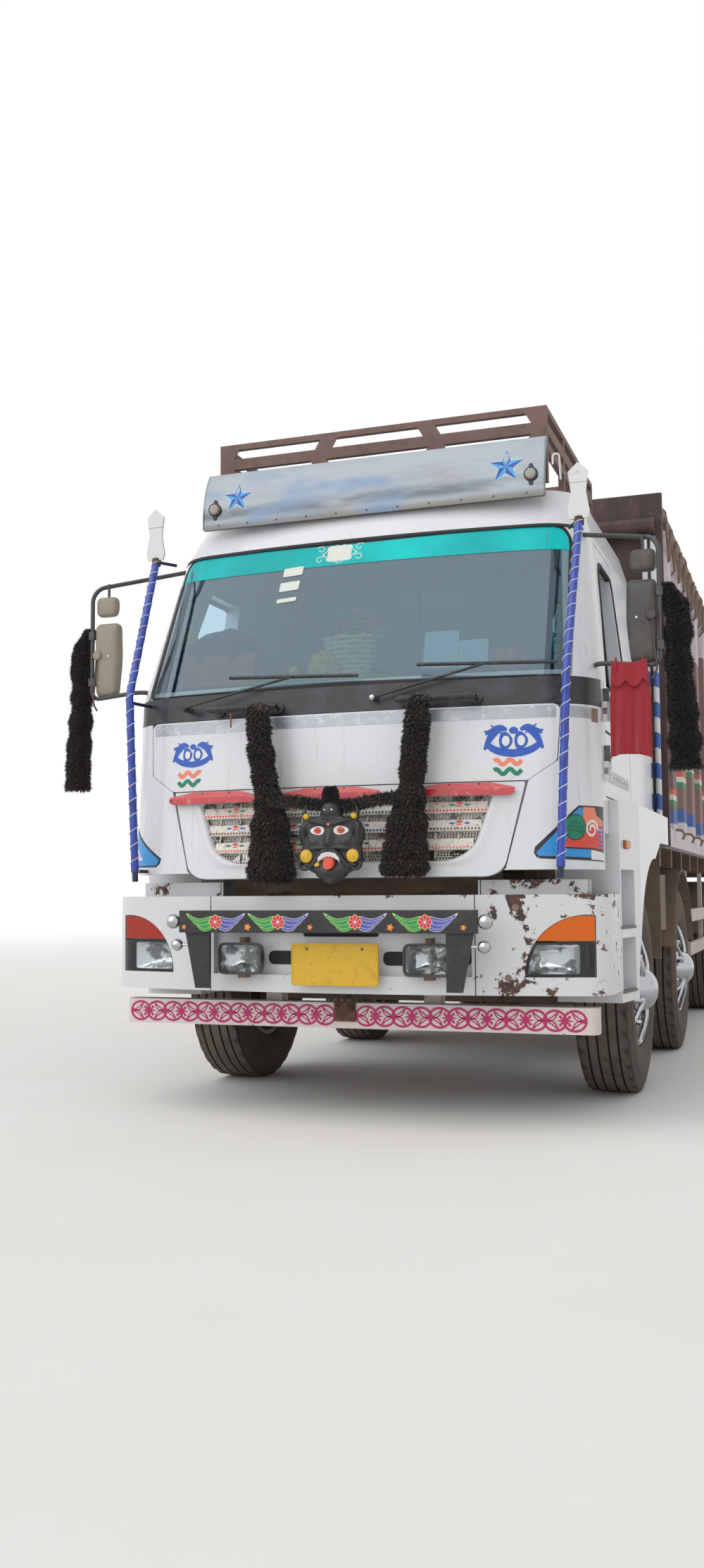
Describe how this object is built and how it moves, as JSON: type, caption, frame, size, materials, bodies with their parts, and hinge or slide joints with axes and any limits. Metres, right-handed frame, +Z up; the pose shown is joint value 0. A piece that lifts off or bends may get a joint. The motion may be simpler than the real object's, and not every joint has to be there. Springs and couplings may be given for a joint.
{
  "type": "decorated twin-steer rigid cargo truck",
  "caption": "Cab-over rigid cargo truck with a high-sided steel load body, twin steered front axles, twin-tyred rear axles and painted and tasselled decoration.",
  "frame": {"origin": "middle of the truck's bounding box, on the ground under the tyres", "axes": "+Y towards the tail, so the front faces -Y; +X towards the truck's own left; +Z up"},
  "size_m": [3.18, 10.1298, 3.41],
  "materials": {
    "frame_paint": "worn satin",
    "cast_steel": "dirty",
    "machined_steel": "worn",
    "tyre": "dusty",
    "wheel_paint": "dusty gloss",
    "chrome": "polished",
    "white_paint": "peeling gloss",
    "cab_paint": "gloss",
    "black_plastic": "matt",
    "glass": "clear",
    "lamp_glass": "ribbed",
    "amber_glass": "ribbed",
    "board_white": "gloss",
    "crest_black": "painted pattern",
    "pole_blue": "gloss",
    "body_paint": "satin",
    "bed_steel": "scratched",
    "arch_paint": "dusty",
    "rack_paint": "satin",
    "black_wool": "shaggy",
    "red_cloth": "woven",
    "seat_cloth": "woven",
    "mask_gloss": "gloss",
    "mirror_shell": "satin"
  },
  "bodies": {
    "chassis": {"frame_rails": "frame_paint", "crossmembers": "frame_paint", "engine_block": "cast_steel", "axles": "cast_steel", "leaf_springs": "cast_steel", "propeller_shaft": "cast_steel", "fuel_tank": "white_paint", "battery_box": "white_paint", "spare_wheel": "tyre", "cab_shell": "cab_paint", "roof_cap": "white_paint", "front_flap": "white_paint", "corner_panels": "white_paint", "grille_panel": "white_paint", "windshield": "glass", "cowl": "black_plastic", "dashboard": "black_plastic", "steering_wheel": "black_plastic", "seats": "seat_cloth", "bumper": "white_paint", "headlamps": "lamp_glass", "indicators": "amber_glass", "underrun_bar": "white_paint", "crest_bar": "crest_black", "chrome_balls": "chrome", "corner_poles": "pole_blue", "name_board": "board_white", "roof_rack": "rack_paint", "mirrors": "mirror_shell", "wipers": "black_plastic", "arch_panels": "arch_paint", "front_mudguards": "black_plastic", "rear_mudguards": "black_plastic", "bed_floor": "bed_steel", "bed_sides": "body_paint", "bed_front_wall": "body_paint", "stripe_poles": "pole_blue", "side_guards": "white_paint", "rear_bumper": "white_paint", "garlands": "black_wool", "mask": "mask_gloss", "red_cloth": "red_cloth"},
    "door_left": {"door_left": "cab_paint"},
    "door_right": {"door_right": "cab_paint"},
    "rear_door_left": {"rear_door_left": "body_paint"},
    "rear_door_right": {"rear_door_right": "body_paint"},
    "knuckle_1_left": {"knuckle_1_left": "cast_steel"},
    "knuckle_1_right": {"knuckle_1_right": "cast_steel"},
    "wheel_1_left": {"wheel_1_left": "tyre"},
    "wheel_1_right": {"wheel_1_right": "tyre"},
    "knuckle_2_left": {"knuckle_2_left": "cast_steel"},
    "knuckle_2_right": {"knuckle_2_right": "cast_steel"},
    "wheel_2_left": {"wheel_2_left": "tyre"},
    "wheel_2_right": {"wheel_2_right": "tyre"},
    "wheel_3_left": {"wheel_3_left": "tyre"},
    "wheel_3_right": {"wheel_3_right": "tyre"},
    "wheel_4_left": {"wheel_4_left": "tyre"},
    "wheel_4_right": {"wheel_4_right": "tyre"},
    "tailboard": {"tailboard": "body_paint"}
  },
  "joints": [
    {"name": "steer_1_left", "type": "hinge", "parent": "chassis", "child": "knuckle_1_left", "pos_m": [0.87, -3.478, 0.52], "axis": [0, 0, 1], "range_deg": [-36, 36]},
    {"name": "roll_1_left", "type": "hinge", "parent": "knuckle_1_left", "child": "wheel_1_left", "pos_m": [1.03, -3.478, 0.52], "axis": [1, 0, 0], "continuous": true},
    {"name": "steer_1_right", "type": "hinge", "parent": "chassis", "child": "knuckle_1_right", "pos_m": [-0.87, -3.478, 0.52], "axis": [0, 0, 1], "range_deg": [-36, 36]},
    {"name": "roll_1_right", "type": "hinge", "parent": "knuckle_1_right", "child": "wheel_1_right", "pos_m": [-1.03, -3.478, 0.52], "axis": [1, 0, 0], "continuous": true},
    {"name": "steer_2_left", "type": "hinge", "parent": "chassis", "child": "knuckle_2_left", "pos_m": [0.87, -1.482, 0.52], "axis": [0, 0, 1], "range_deg": [-24, 24]},
    {"name": "roll_2_left", "type": "hinge", "parent": "knuckle_2_left", "child": "wheel_2_left", "pos_m": [1.03, -1.482, 0.52], "axis": [1, 0, 0], "continuous": true},
    {"name": "steer_2_right", "type": "hinge", "parent": "chassis", "child": "knuckle_2_right", "pos_m": [-0.87, -1.482, 0.52], "axis": [0, 0, 1], "range_deg": [-24, 24]},
    {"name": "roll_2_right", "type": "hinge", "parent": "knuckle_2_right", "child": "wheel_2_right", "pos_m": [-1.03, -1.482, 0.52], "axis": [1, 0, 0], "continuous": true},
    {"name": "roll_3_left", "type": "hinge", "parent": "chassis", "child": "wheel_3_left", "pos_m": [0.885, 1.693, 0.52], "axis": [1, 0, 0], "continuous": true},
    {"name": "roll_3_right", "type": "hinge", "parent": "chassis", "child": "wheel_3_right", "pos_m": [-0.885, 1.693, 0.52], "axis": [1, 0, 0], "continuous": true},
    {"name": "roll_4_left", "type": "hinge", "parent": "chassis", "child": "wheel_4_left", "pos_m": [0.885, 3.043, 0.52], "axis": [1, 0, 0], "continuous": true},
    {"name": "roll_4_right", "type": "hinge", "parent": "chassis", "child": "wheel_4_right", "pos_m": [-0.885, 3.043, 0.52], "axis": [1, 0, 0], "continuous": true},
    {"name": "door_left_hinge", "type": "hinge", "parent": "chassis", "child": "door_left", "pos_m": [1.17, -4.466, 1.7], "axis": [0, 0, -1], "range_deg": [0, 70]},
    {"name": "rear_door_left_hinge", "type": "hinge", "parent": "chassis", "child": "rear_door_left", "pos_m": [1.195, 5.043, 2.65], "axis": [0, 0, -1], "range_deg": [0, 180]},
    {"name": "door_right_hinge", "type": "hinge", "parent": "chassis", "child": "door_right", "pos_m": [-1.17, -4.466, 1.7], "axis": [0, 0, 1], "range_deg": [0, 70]},
    {"name": "rear_door_right_hinge", "type": "hinge", "parent": "chassis", "child": "rear_door_right", "pos_m": [-1.195, 5.043, 2.65], "axis": [0, 0, 1], "range_deg": [0, 180]},
    {"name": "tailboard_hinge", "type": "hinge", "parent": "chassis", "child": "tailboard", "pos_m": [0, 5.043, 1.27], "axis": [-1, 0, 0], "range_deg": [0, 180]}
  ],
  "couplings": [
    {"joint": "steer_1_right", "follows": "steer_1_left", "ratio": 1},
    {"joint": "steer_2_left", "follows": "steer_1_left", "ratio": 0.66},
    {"joint": "steer_2_right", "follows": "steer_1_left", "ratio": 0.66}
  ]
}
